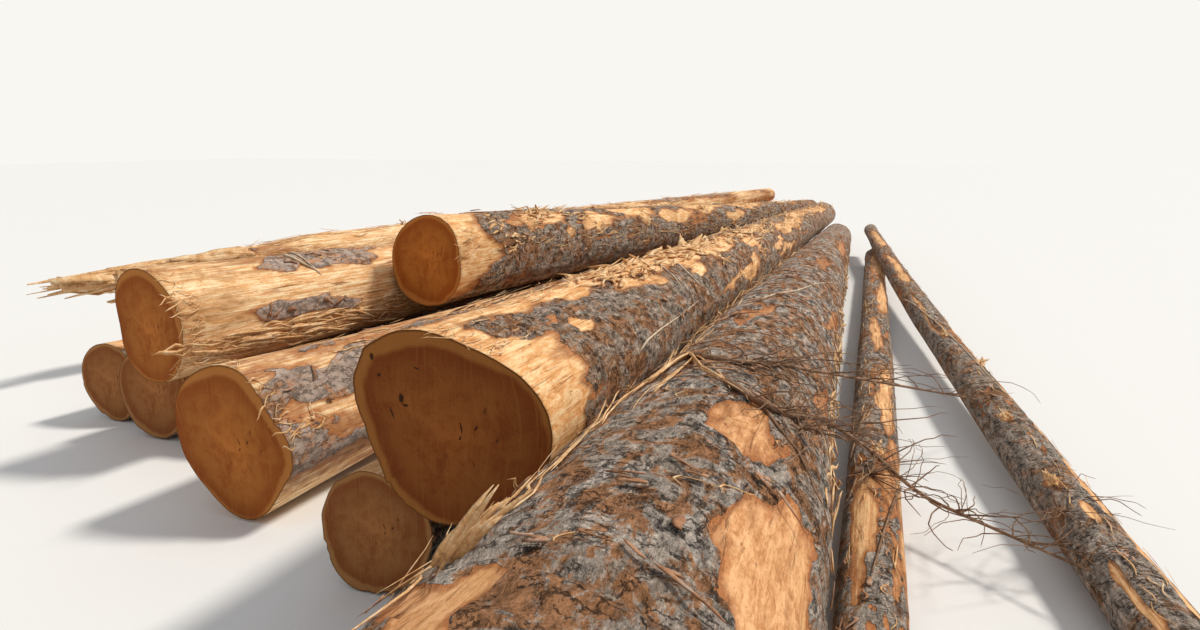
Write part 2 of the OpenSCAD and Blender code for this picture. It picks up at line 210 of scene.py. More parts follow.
def bark_field(name, s, angle, grain, seed):
    """About 1 where bark holds, about 0 where it is gone; 0.5 is the edge."""
    base, _, patches = COVER[name]
    field = np.full(len(s), base)
    pull = sampled_noise(grain * [4.5, 1.8, 4.5], seed + 41) + 0.6 * sampled_noise(grain * [13, 4.0, 13], seed + 43)
    skew = sampled_noise(grain * [3.5, 2.5, 3.5], seed + 47) + 0.7 * sampled_noise(grain * [15, 7, 15], seed + 49)
    for along, around, half_s, half_a, change in patches:
        off = (angle - around + skew * 16 + 180) % 360 - 180
        inside = 1.0 - ((s + pull * 0.26 - along) / half_s) ** 2 - (off / half_a) ** 2
        field += change * np.clip(inside * 1.3, 0, 1)
    field += 0.46 * sampled_noise(grain * [3.2, 0.9, 3.2], seed) + 0.26 * sampled_noise(grain * [9, 2.2, 9], seed + 9)
    field += 0.22 * sampled_noise(grain * [26, 3.0, 26], seed + 19) + 0.16 * sampled_noise(grain * [26, 18, 26], seed + 29)
    return field - 1.3 * knot_field(name, s, angle, np.hypot(grain[:, 0], grain[:, 2]))


# %% [markdown]
# The skin of a log is one grid, rolled into a tube and set on the read surface. It is fine near the
# camera and coarser far away, and hidden logs get few faces. Bare wood lies a bark's thickness deeper
# than bark does, the bark itself heaves in long plates, and the two open ends are filled flat.

# %% Roll a skin for each log
# faces round the log, and the length of the first face in metres
FINENESS = {
    "big_butt_log": (160, 0.018), "barked_log": (176, 0.018), "front_log": (120, 0.022), "low_log": (72, 0.035),
    "inner_small_log": (40, 0.10), "middle_small_log": (56, 0.05), "outer_small_log": (64, 0.045),
    "edge_log": (64, 0.05), "rim_log": (64, 0.05), "peeled_log": (128, 0.022), "top_log": (120, 0.024), "broken_log": (80, 0.035),
    "side_pole": (64, 0.03), "leaning_pole": (72, 0.024),
}


def stations(length, first):
    steps = [0.0]
    while steps[-1] < length:
        steps.append(steps[-1] + first + 0.0085 * steps[-1])
    return np.array(steps) * (length / steps[-1])


def store(mesh, name, kind, values):
    layer = mesh.attributes.new(name, kind, "POINT")
    layer.data.foreach_set("vector" if kind == "FLOAT_VECTOR" else "value", np.asarray(values, np.float32).ravel())


def roll_skin(name, seed):
    log = logs[name]
    sides, first = FINENESS[name]
    places = stations(float(np.ptp(log["y"])), first)
    bm = bmesh.new()
    bmesh.ops.create_grid(bm, x_segments=len(places) - 1, y_segments=sides, size=1.0)
    flat = np.array([v.co for v in bm.verts])
    row = np.rint((flat[:, 0] + 1) / 2 * (len(places) - 1)).astype(int)
    s = places[row]
    angle = (flat[:, 1] + 1) * 180.0
    angle[angle >= 360 - 1e-4] = 0.0
    _, reach = surface(log, s, angle)
    unit = np.stack([np.cos(np.radians(angle)), np.sin(np.radians(angle))], 1)
    grain = np.stack([unit[:, 0] * reach, s + seed * 17.0, unit[:, 1] * reach], 1)
    field = bark_field(name, s, angle, grain, seed)
    thickness = COVER[name][1]
    held = np.clip((field - 0.44) / 0.12, 0, 1)
    plates = np.abs(sampled_noise(grain * [16, 5, 16], seed + 3)) * 0.55 + np.abs(sampled_noise(grain * [7, 1.6, 7], seed + 5))
    ripple = sampled_noise(grain * [22, 1.2, 22], seed + 7) * 0.0022
    sink = (1 - held) * thickness + held * plates * thickness * 0.55 - (1 - held) * ripple
    sink += np.abs(sampled_noise(grain * [1.3, 0.5, 1.3], seed + 11)) * 0.008
    wrinkle = np.abs(sampled_noise(grain * [3.5, 13, 3.5], seed + 13)) + 0.5 * np.abs(sampled_noise(grain * [9, 26, 9], seed + 15))
    sink += held * wrinkle * 0.034 * np.exp(-s / 2.4) * (thickness > 0.015)
    boss = knot_field(name, s, angle, reach)
    sink -= (boss - 0.55 * boss ** 3) * (0.016 + thickness)
    points, _ = surface(log, s, angle, sink)
    low, high = cad_box
    points = np.clip(points, np.array(low) + 1e-4, np.array(high) - 1e-4)
    for v, p in zip(bm.verts, points):
        v.co = p
    bm.verts.index_update()
    carry = bm.verts.layers.int.new("place")
    for v in bm.verts:
        v[carry] = v.index
    bmesh.ops.remove_doubles(bm, verts=bm.verts, dist=1e-5)
    open_edges = [e for e in bm.edges if e.is_boundary]
    filled = bmesh.ops.holes_fill(bm, edges=open_edges, sides=0)["faces"]
    fans = bmesh.ops.poke(bm, faces=filled, center_mode="MEAN")
    for vert in fans["verts"]:
        vert[carry] = -1
    for face in fans["faces"]:
        face.material_index = 1
    bmesh.ops.recalc_face_normals(bm, faces=bm.faces)
    for face in bm.faces:
        face.smooth = face.material_index == 0
    mesh = bpy.data.meshes.new(name + "_skin")
    bm.to_mesh(mesh)
    bm.free()
    place = np.empty(len(mesh.vertices), np.int32)
    mesh.attributes["place"].data.foreach_get("value", place)
    mesh.attributes.remove(mesh.attributes["place"])
    pith = place < 0
    rim = np.stack([unit[:, 0], s * 0, unit[:, 1]], 1)
    for kind, values in (("grain", grain), ("sawn", rim)):
        carried = values[place]
        carried[pith] = (0, seed, 0)
        store(mesh, kind, "FLOAT_VECTOR", carried)
    store(mesh, "bark", "FLOAT", np.where(pith, 0.0, field[place]))
    piece = bpy.data.objects.new(name + "_skin", mesh)
    scene.collection.objects.link(piece)
    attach(piece, "root")
    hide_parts(name)
    return piece


skins = {name: roll_skin(name, seed) for seed, name in enumerate(sorted(nodes), 1)}
print("skins:", len(skins), "faces", sum(len(p.data.polygons) for p in skins.values()))

# %% [markdown]
# One small helper makes shader nodes, so that a finish reads as a list of steps. Every pattern is laid
# out on the log's own grain: across, along and across again, in metres, whichever way the log points.

# %% A helper for finishes
class Finish:
    def __init__(self, name):
        self.material = bpy.data.materials.new(name)
        self.material.use_nodes = True
        self.tree = self.material.node_tree
        self.shader = self.tree.nodes["Principled BSDF"]
        self.shader.inputs["Specular IOR Level"].default_value = 0.12

    def add(self, kind, inputs=(), out=0, **settings):
        n = self.tree.nodes.new(kind)
        for key, value in settings.items():
            setattr(n, key, value)
        for key, value in dict(inputs).items():
            if isinstance(value, bpy.types.NodeSocket):
                self.tree.links.new(value, n.inputs[key])
            else:
                n.inputs[key].default_value = value
        return n.outputs[out]

    def grain(self, scale, attribute="grain"):
        at = self.add("ShaderNodeAttribute", out="Vector", attribute_name=attribute)
        return self.add("ShaderNodeVectorMath", {0: at, 1: scale}, operation="MULTIPLY")

    def noise(self, scale, detail=4.0, rough=0.55, warp=0.0, attribute="grain"):
        return self.add("ShaderNodeTexNoise", {"Vector": self.grain(scale, attribute), "Scale": 1.0, "Detail": detail,
                        "Roughness": rough, "Distortion": warp})

    def math(self, operation, a, b=0.0, c=0.0):
        return self.add("ShaderNodeMath", {0: a, 1: b, 2: c}, operation=operation)

    def ramp(self, value, stops):
        out = self.add("ShaderNodeValToRGB", {"Fac": value})
        band = out.node.color_ramp
        while len(band.elements) < len(stops):
            band.elements.new(0.5)
        for element, (at, colour) in zip(band.elements, stops):
            element.position = at
            element.color = (*colour, 1.0) if len(colour) == 3 else colour
        return out

    def mix(self, amount, a, b, blend="MIX"):
        n = self.tree.nodes.new("ShaderNodeMix")
        n.data_type = "RGBA"
        n.blend_type = blend
        for socket, value in ((n.inputs[0], amount), (n.inputs[6], a), (n.inputs[7], b)):
            if isinstance(value, bpy.types.NodeSocket):
                self.tree.links.new(value, socket)
            elif socket.type == "VALUE":
                socket.default_value = value
            else:
                socket.default_value = (*value, 1.0)
        return n.outputs[2]

    def step(self, value, low, high):
        return self.add("ShaderNodeMapRange", {"Value": value, "From Min": low, "From Max": high}, interpolation_type="SMOOTHSTEP")

    def bump(self, height, distance, normal=None):
        inputs = {"Height": height, "Distance": distance, "Strength": 1.0}
        if normal is not None:
            inputs["Normal"] = normal
        return self.add("ShaderNodeBump", inputs)

    def finish(self, colour, roughness, normal):
        self.tree.links.new(colour, self.shader.inputs["Base Color"])
        if isinstance(roughness, bpy.types.NodeSocket):
            self.tree.links.new(roughness, self.shader.inputs["Roughness"])
        else:
            self.shader.inputs["Roughness"].default_value = roughness
        self.tree.links.new(normal, self.shader.inputs["Normal"])
        return self.material


# %% [markdown]
# A trunk shows two surfaces. Bark is grey in plates, with red-brown flakes where plates have come away; its cracks are
# painted near-black as painted shade, and on bark and red inner bark alike the low parts of the relief are painted
# darker and the raised tops lighter, as painted shade and painted highlight.
# Bare wood is pale straw to orange, streaked along the grain and stained in places.
# The bark attribute, roughened by fine noise, decides which shows, and its edge shows red inner bark.

# %% Trunk finishes
def trunk_finish(name, plate, grey, flake, wood_pale, wood_warm, flake_share, streaky=0.5, inner_from=0.05, calm=0.0):
    f = Finish(name)
    held = f.math("ADD", f.add("ShaderNodeAttribute", out="Fac", attribute_name="bark"),
                  f.math("MULTIPLY", f.math("SUBTRACT", f.noise((30, 9, 30), 5), 0.5), 0.34))
    held = f.math("ADD", held, f.math("MULTIPLY", f.math("SUBTRACT", f.noise((9, 6, 9), 6, 0.7, 0.8), 0.5), 0.62))
    bark_mask = f.step(held, 0.485, 0.515)
    inner_mask = f.math("MULTIPLY", f.step(held, inner_from, 0.47), 0.88)

    round_it, along_it = 1.0 / plate[0], 1.0 / plate[1]
    bend = f.add("ShaderNodeTexNoise", {"Vector": f.grain((6, 5, 6)), "Scale": 1.0, "Detail": 8.0, "Roughness": 0.72}, out="Color")
    warped = f.add("ShaderNodeVectorMath", {0: f.grain((round_it, along_it, round_it)),
                   1: f.add("ShaderNodeVectorMath", {0: bend, 1: (4.6, 4.6, 4.6)}, operation="MULTIPLY")}, operation="ADD")
    crack = f.add("ShaderNodeTexVoronoi", {"Vector": warped, "Scale": 1.0}, feature="DISTANCE_TO_EDGE")
    scales = f.add("ShaderNodeTexVoronoi", {"Vector": warped, "Scale": 2.7}, feature="F1")
    fine = f.noise((150, 60, 150), 8, 0.78)
    lumps = f.noise((40, 12, 40), 9, 0.76, 0.5)
    broad_tone = f.noise((3.0, 1.2, 3.0), 4, 0.6)
    # This relief height also sets the bark's colour below: darker where low, as painted shade, lighter where high, as
    # painted highlight.
    level = f.math("ADD", f.math("MULTIPLY", lumps, 0.62), f.math("MULTIPLY", fine, 0.38))
    level = f.math("SUBTRACT", level, f.math("MULTIPLY", scales, 0.07))
    splits = f.add("ShaderNodeTexVoronoi", {"Vector": warped, "Scale": 3.4}, feature="DISTANCE_TO_EDGE")
    splits = f.math("ADD", splits, f.math("MULTIPLY", f.step(f.noise((26, 16, 26), 5, 0.7), 0.40, 0.62), 0.16))
    split_open = f.step(splits, 0.09, 0.02)
    if calm:
        level = f.math("MULTIPLY_ADD", level, 1.0 - calm, 0.5 * calm)
        split_open = f.math("MULTIPLY", split_open, 1.0 - calm)
    # Plate colour follows the relief: near-black in the hollows is painted shade, the brightest tops are painted
    # highlight.
    plate = f.ramp(level, [(0.35, [c * 0.14 for c in grey]), (0.41, [c * 0.55 for c in grey]), (0.48, [c * 0.95 for c in grey]), (0.55, [min(1, c * 1.55) for c in grey])])
    plate = f.mix(f.math("MULTIPLY", f.step(broad_tone, 0.42, 0.62), 0.40), plate, [grey[0] * 0.80, grey[1] * 0.64, grey[2] * 0.52])
    flaking = f.step(f.math("ADD", f.noise((9, 6, 9), 10, 0.80, 0.6), f.math("MULTIPLY", broad_tone, 0.16)), flake_share, flake_share + 0.04)
    # Flaked bark too: darker where the relief is low, as painted shade, lighter where high, as painted highlight.
    flaked = f.ramp(level, [(0.38, [c * 0.40 for c in flake]), (0.50, flake), (0.62, [min(1, c * 1.4) for c in flake])])
    bark = f.mix(f.math("MULTIPLY", flaking, 0.9), plate, flaked)
    # Cracks and splits are painted near-black, as painted shade inside them; the bump below also sinks them.
    gap = f.step(f.math("ADD", crack, f.math("MULTIPLY", f.step(f.noise((22, 10, 22), 4), 0.42, 0.60), 0.10)), 0.02, 0.12)
    bark = f.mix(f.math("MULTIPLY", f.math("SUBTRACT", 1.0, gap), 0.85 - 0.75 * calm), bark, [0.035, 0.022, 0.016])
    bark = f.mix(f.math("MULTIPLY", split_open, 0.80), bark, [0.035, 0.022, 0.016])

    streak = f.noise((90, 3.0, 90), 6, 0.62, 0.3)
    broad = f.noise((4.2, 1.1, 4.2), 7, 0.68, 0.9)
    rough = f.noise((34, 11, 34), 6, 0.72, 0.6)
    mottle = f.math("ADD", f.math("MULTIPLY", streak, streaky), f.math("MULTIPLY", f.mix(0.35, rough, fine), 1.0 - streaky))
    wood = f.ramp(mottle, [(0.36, [c * 0.50 for c in wood_warm]), (0.47, wood_warm), (0.55, wood_pale), (0.70, [min(1, c * 1.08) for c in wood_pale])])
    wood = f.mix(f.math("MULTIPLY", f.step(broad, 0.50, 0.64), 0.72), wood, f.ramp(rough, [(0.35, [c * 0.42 for c in wood_warm]), (0.65, [c * 0.85 for c in wood_warm])]))
    amber = f.noise((2.2, 0.7, 2.2), 6, 0.65, 0.8)
    wood = f.mix(f.math("MULTIPLY", f.step(amber, 0.48, 0.68), 0.46), wood, f.ramp(streak, [(0.3, (0.46, 0.20, 0.07)), (0.6, (0.80, 0.46, 0.20))]))
    tear = f.step(f.noise((36, 1.8, 36), 4, 0.6, 1.2), 0.62, 0.68)
    wood = f.mix(f.math("MULTIPLY", tear, 0.75), wood, (0.24, 0.10, 0.04))
    specks = f.step(f.noise((60, 14, 60), 3, 0.6, 0.5), 0.68, 0.72)
    wood = f.mix(f.math("MULTIPLY", specks, 0.6), wood, (0.20, 0.09, 0.04))
    # Red inner bark at the torn edge, darker where the relief is low, as painted shade.
    wood = f.mix(inner_mask, wood, f.ramp(level, [(0.38, (0.14, 0.042, 0.013)), (0.56, (0.53, 0.19, 0.060))]))

    bark_height = f.math("ADD", f.math("MULTIPLY", gap, 0.8 - 0.5 * calm), f.math("MULTIPLY", level, 3.0))
    bark_height = f.math("SUBTRACT", bark_height, f.math("MULTIPLY", split_open, 0.5))
    wood_height = f.math("ADD", f.math("MULTIPLY", mottle, 0.6), f.math("MULTIPLY", tear, -0.2))
    height = f.add("ShaderNodeMix", {0: bark_mask, 2: wood_height, 3: f.math("ADD", bark_height, 0.35)})
    roughness = f.add("ShaderNodeMix", {0: bark_mask, 2: 0.62, 3: 0.92})
    return f.finish(f.mix(bark_mask, wood, bark), roughness, f.bump(height, 0.011))


trunk = {
    "plated_bark": trunk_finish("plated_bark", (0.070, 0.050), (0.52, 0.44, 0.365), (0.58, 0.25, 0.10), (0.93, 0.62, 0.34), (0.78, 0.38, 0.15), 0.575),
    "peeled_wood": trunk_finish("peeled_wood", (0.045, 0.100), (0.47, 0.36, 0.295), (0.56, 0.27, 0.13), (1.0, 0.79, 0.49), (0.80, 0.42, 0.17), 0.60, calm=0.72),
    "orange_patches": trunk_finish("orange_patches", (0.085, 0.036), (0.64, 0.545, 0.46), (0.60, 0.26, 0.10), (0.82, 0.46, 0.22), (0.60, 0.265, 0.10), 0.565, 0.15, -0.45),
    "slit_bark": trunk_finish("slit_bark", (0.060, 0.022), (0.60, 0.475, 0.375), (0.58, 0.26, 0.11), (0.99, 0.72, 0.40), (0.80, 0.38, 0.135), 0.575, 0.28, -0.25),
    "pole_bark": trunk_finish("pole_bark", (0.060, 0.020), (0.60, 0.50, 0.415), (0.60, 0.28, 0.12), (0.95, 0.60, 0.30), (0.76, 0.37, 0.15), 0.59),
}
print("trunk finishes:", sorted(trunk))

# %% [markdown]
# A sawn end shows growth rings round the pith, dark red heartwood, a paler band of sapwood at the rim and
# a thin dark line of bark. The chain leaves faint arcs across it, and short checks open from the heart; the checks and
# a few listed slits are painted near-black, as painted shade inside them.

# %% Sawn ends
def sawn_finish(name, heart, sap, pith, sap_side, marks=()):
    f = Finish(name)
    across = f.add("ShaderNodeAttribute", out="Vector", attribute_name="sawn")
    flat_at = f.add("ShaderNodeVectorMath", {0: across, 1: (1, 0, 1)}, operation="MULTIPLY")
    to_rim = f.math("SUBTRACT", 1.0, f.add("ShaderNodeVectorMath", {0: flat_at}, out="Value", operation="LENGTH"))
    shift = f.add("ShaderNodeVectorMath", {0: (pith[0], 0, pith[1]), "Scale": to_rim}, operation="SCALE")
    flat = f.add("ShaderNodeVectorMath", {0: flat_at, 1: shift}, operation="SUBTRACT")
    wobble = f.add("ShaderNodeTexNoise", {"Vector": flat, "Scale": 2.2, "Detail": 3.0})
    out = f.add("ShaderNodeVectorMath", {0: flat}, out="Value", operation="LENGTH")
    away = f.math("ADD", out, f.math("MULTIPLY", f.math("SUBTRACT", wobble, 0.5), f.math("MULTIPLY_ADD", to_rim, 0.18, 0.03)))
    ring = f.math("MULTIPLY_ADD", f.math("SINE", f.math("MULTIPLY", away, 300.0)), 0.5, 0.5)
    coarse = f.add("ShaderNodeTexNoise", {"Vector": flat, "Scale": 3.0, "Detail": 9.0, "Roughness": 0.75, "Distortion": 0.4})
    fuzz = f.add("ShaderNodeTexNoise", {"Vector": flat, "Scale": 70.0, "Detail": 5.0, "Roughness": 0.75})
    uneven = f.add("ShaderNodeTexNoise", {"Vector": flat, "Scale": 0.9, "Detail": 4.0, "Roughness": 0.5})
    edge_at = f.math("ADD", away, f.math("MULTIPLY", f.math("SUBTRACT", uneven, 0.5), 0.30))
    edge_at = f.math("ADD", edge_at, f.add("ShaderNodeVectorMath", {0: flat_at, 1: (sap_side[0], 0, sap_side[1])}, out="Value",
                     operation="DOT_PRODUCT"))
    body = f.ramp(away, [(0.0, [c * 1.30 for c in heart]), (0.16, [c * 1.18 for c in heart]), (0.45, heart), (0.80, [c * 0.86 for c in heart])])
    red = [heart[0] * 0.62, heart[1] * 0.40, heart[2] * 0.30]
    body = f.mix(f.math("MULTIPLY", f.step(coarse, 0.42, 0.66), 0.72), body, red)
    body = f.mix(f.math("MULTIPLY", f.step(edge_at, 0.66, 0.90), 0.70), body, red)
    body = f.mix(f.math("MULTIPLY", f.step(edge_at, 0.885, 0.955), 0.80), body, sap)
    body = f.mix(f.math("MULTIPLY", ring, 0.13), body, [c * 0.5 for c in heart])
    body = f.mix(f.math("MULTIPLY", f.step(out, 0.972, 0.992), 0.8), body, [c * 0.30 for c in heart])
    body = f.mix(f.math("MULTIPLY", f.step(fuzz, 0.50, 0.85), 0.34), body, [min(1, c * 1.35) for c in sap])
    arcs = f.add("ShaderNodeTexNoise", {"Vector": f.add("ShaderNodeVectorMath", {0: flat, 1: (26.0, 1, 1.6)}, operation="MULTIPLY"),
                 "Scale": 1.0, "Detail": 3.0})
    spots = f.add("ShaderNodeTexNoise", {"Vector": f.add("ShaderNodeVectorMath", {0: flat, 1: (11.0, 1, 4.6)}, operation="MULTIPLY"),
                  "Scale": 1.0, "Detail": 2.0, "Distortion": 0.8})
    # Checks are painted near-black, as painted shade inside the open cracks.
    near_heart = f.step(away, 0.70, 0.30)
    checks = f.math("MULTIPLY", f.step(spots, 0.705, 0.73), near_heart)
    body = f.mix(f.math("MULTIPLY", checks, 0.9), body, (0.025, 0.012, 0.006))
    body = f.mix(f.math("MULTIPLY", f.step(arcs, 0.5, 0.8), 0.34), body, sap)
    # Each listed mark is a slit painted near-black, as painted shade inside it.
    for (at_x, at_z), (half_x, half_z) in marks:
        near = f.add("ShaderNodeVectorMath", {0: flat_at, 1: (at_x, 0, at_z)}, operation="SUBTRACT")
        near = f.add("ShaderNodeVectorMath", {0: near, 1: (1.0 / half_x, 0, 1.0 / half_z)}, operation="MULTIPLY")
        near = f.math("ADD", f.add("ShaderNodeVectorMath", {0: near}, out="Value", operation="LENGTH"), f.math("MULTIPLY", fuzz, 1.6))
        body = f.mix(f.math("MULTIPLY", f.step(near, 1.9, 1.3), 0.92), body, (0.02, 0.010, 0.005))
    height = f.math("ADD", f.math("MULTIPLY", ring, 0.2), f.math("ADD", arcs, f.math("SUBTRACT", fuzz, checks)))
    return f.finish(body, 0.82, f.bump(height, 0.004))


sawn = {
    "big_butt_log": sawn_finish("sawn_red_heart", (0.32, 0.100, 0.020), (0.42, 0.165, 0.038), (0.0, -0.12), (-0.055, 0.055),
                                [((-0.65, 0.41), (0.022, 0.018)), ((-0.44, 0.22), (0.030, 0.055)), ((-0.59, 0.08), (0.012, 0.065)),
                                 ((-0.29, 0.54), (0.030, 0.012)), ((-0.70, 0.56), (0.022, 0.040)), ((-0.40, 0.16), (0.040, 0.014))]),
    "top_log": sawn_finish("sawn_orange_heart", (0.60, 0.200, 0.035), (0.66, 0.26, 0.060), (0.05, 0.10), (0.0, 0.0)),
    "front_log": sawn_finish("sawn_brown_heart", (0.48, 0.160, 0.032), (0.56, 0.225, 0.055), (0.0, -0.12), (0.07, 0.05)),
}
dull_end = sawn_finish("sawn_weathered", (0.40, 0.160, 0.050), (0.48, 0.23, 0.080), (0.06, 0.04), (0.0, 0.0))
for name, skin in skins.items():
    skin.data.materials.append(trunk[{"barked_log": "orange_patches", "big_butt_log": "slit_bark", "top_log": "slit_bark"}.get(name, SLOT[name])])
    skin.data.materials.append(sawn.get("front_log" if name == "peeled_log" else name, dull_end))
print("sawn finishes:", len(sawn) + 1)

# %% [markdown]
# Torn fibres, splinters, lifted bark and twigs are all strands: long thin closed shapes that follow a path.
# One grid gives them all. Its rows are cut apart into bands, each band is rolled round its own path, and
# its two ends are drawn together. A flat strand is a splinter or a flake of bark, a round one is a twig.

# %% A helper for strands
ROLL = 5


def strands(name, paths, across, above, width, thick, finish, slot_name):
    """paths, across, above are (strand, point, xyz); width and thick are (strand, point), in metres."""
    count, points = width.shape
    bm = bmesh.new()
    bmesh.ops.create_grid(bm, x_segments=points - 1, y_segments=count * (ROLL + 1) - 1, size=1.0)
    flat = np.array([v.co for v in bm.verts])
    col = np.rint((flat[:, 0] + 1) / 2 * (points - 1)).astype(int)
    row = np.rint((flat[:, 1] + 1) / 2 * (count * (ROLL + 1) - 1)).astype(int)
    strand, turn = row // (ROLL + 1), row % (ROLL + 1)
    bm.faces.ensure_lookup_table()
    between = [f for f in bm.faces if len({strand[v.index] for v in f.verts}) > 1]
    phase = (turn % ROLL) / ROLL * 2 * math.pi
    place = paths[strand, col] + across[strand, col] * (np.cos(phase) * width[strand, col] / 2)[:, None] \
        + above[strand, col] * (np.sin(phase) * thick[strand, col] / 2)[:, None]
    place = np.clip(place, np.array(cad_box[0]) + 1e-4, np.array(cad_box[1]) - 1e-4)
    for v, p in zip(bm.verts, place):
        v.co = p
    bmesh.ops.delete(bm, geom=between, context="FACES")
    bmesh.ops.remove_doubles(bm, verts=bm.verts, dist=1e-6)
    bmesh.ops.holes_fill(bm, edges=[e for e in bm.edges if e.is_boundary], sides=0)
    bmesh.ops.recalc_face_normals(bm, faces=bm.faces)
    for face in bm.faces:
        face.smooth = True
    mesh = bpy.data.meshes.new(name)
    bm.to_mesh(mesh)
    bm.free()
    mesh.materials.append(finish)
    piece = bpy.data.objects.new(name, mesh)
    scene.collection.objects.link(piece)
    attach(piece, "root")
    print(name, "strands", count, "faces", len(mesh.polygons))
    return piece


def unit(v):
    return v / np.maximum(np.linalg.norm(v, axis=-1, keepdims=True), 1e-9)


# %% [markdown]
# Loose wood is redder where it tore and paler where the sun has dried it. Flakes are broken bark: red-brown
# inside, grey outside. Twigs are dark, with a little red. Each reads plain Object coordinates.

# %% Finishes for loose wood
def loose_finish(name, dark, middle, pale, scale):
    f = Finish(name)
    at = f.add("ShaderNodeTexCoord", out="Object")
    broad = f.add("ShaderNodeTexNoise", {"Vector": at, "Scale": scale, "Detail": 5.0, "Roughness": 0.7})
    tight = f.add("ShaderNodeTexNoise", {"Vector": at, "Scale": scale * 9, "Detail": 4.0, "Roughness": 0.7})
    amount = f.math("ADD", f.math("MULTIPLY", broad, 0.75), f.math("MULTIPLY", tight, 0.35))
    return f.finish(f.ramp(amount, [(0.38, dark), (0.54, middle), (0.70, pale)]), 0.75, f.bump(tight, 0.002))


loose = {
    "fibre": loose_finish("torn_fibre", (0.36, 0.16, 0.06), (0.72, 0.42, 0.19), (0.95, 0.74, 0.48), 14.0),
    "flake": loose_finish("bark_flake", (0.15, 0.08, 0.05), (0.42, 0.20, 0.10), (0.50, 0.40, 0.32), 16.0),
    "twig": loose_finish("twig_bark", (0.085, 0.045, 0.028), (0.23, 0.13, 0.075), (0.44, 0.29, 0.19), 20.0),
    "grey_shard": loose_finish("weathered_shard", (0.30, 0.22, 0.16), (0.62, 0.48, 0.34), (0.85, 0.72, 0.55), 22.0),
}
print("loose finishes:", sorted(loose))

# %% [markdown]
# Where bark tore away, the outer wood stands up in fibres that point along the log. They are thick along
# the rims of the sawn ends, round torn knots, and along the grooves, where they gather.

# %% Torn fibres on the logs
# log: (from, to metres; from, to degrees; count; length; lift; width; reversed to point at the sawn end)
FIBRES = {
    "big_butt_log": [
        (0.0, 0.35, 60, 150, 26, 0.16, 0.02, 0.010, True), (0.3, 3.2, 95, 125, 60, 0.30, 0.02, 0.010, False),
        (1.3, 5.0, 66, 118, 190, 0.20, 0.045, 0.034, False), (5.0, 8.0, 50, 110, 90, 0.34, 0.05, 0.014, False),
        (7.0, 12.0, 40, 110, 120, 0.40, 0.06, 0.014, False), (1.2, 6.0, -45, -10, 150, 0.34, 0.05, 0.012, False),
    ],
    "barked_log": [
        (0.3, 7.5, 118, 152, 170, 0.30, 0.05, 0.014, False), (1.6, 9.0, -12, 22, 190, 0.16, 0.035, 0.024, False),
        (0.3, 1.6, 35, 100, 10, 0.12, 0.010, 0.008, False),
    ],
    "front_log": [
        (0.0, 0.12, 0, 110, 26, 0.10, 0.02, 0.010, True), (0.0, 0.2, 4, 22, 8, 0.12, 0.02, 0.020, False),
        (0.5, 5.0, 20, 120, 110, 0.28, 0.03, 0.010, False),
    ],
    "peeled_log": [
        (0.0, 0.15, -60, 110, 60, 0.10, 0.03, 0.009, True), (0.0, 1.1, -46, -18, 105, 0.34, 0.05, 0.030, False), (1.1, 2.4, -50, -12, 70, 0.34, 0.045, 0.020, False),
        (0.2, 3.0, 90, 150, 90, 0.30, 0.06, 0.014, False), (1.0, 6.0, 20, 130, 90, 0.28, 0.03, 0.010, False),
    ],
    "top_log": [
        (0.0, 0.25, 0, 130, 30, 0.12, 0.02, 0.008, True), (0.5, 1.0, 0, 70, 26, 0.14, 0.06, 0.026, True), (1.0, 1.7, 50, 100, 70, 0.16, 0.06, 0.024, False),
        (2.6, 4.4, 80, 130, 110, 0.24, 0.08, 0.013, False), (0.8, 8.0, -20, 20, 110, 0.30, 0.03, 0.010, False),
        (5.0, 10.0, 60, 130, 120, 0.30, 0.05, 0.012, False),
    ],
    "broken_log": [(0.0, 8.0, 40, 140, 130, 0.34, 0.05, 0.012, False), (0.0, 0.5, 60, 260, 50, 0.30, 0.04, 0.014, True)],
    "side_pole": [(0.5, 9.0, 30, 150, 110, 0.20, 0.03, 0.008, False)],
    "leaning_pole": [(0.2, 9.5, 10, 120, 90, 0.18, 0.02, 0.007, False)],
}
fibre_seed = random.Random(7)


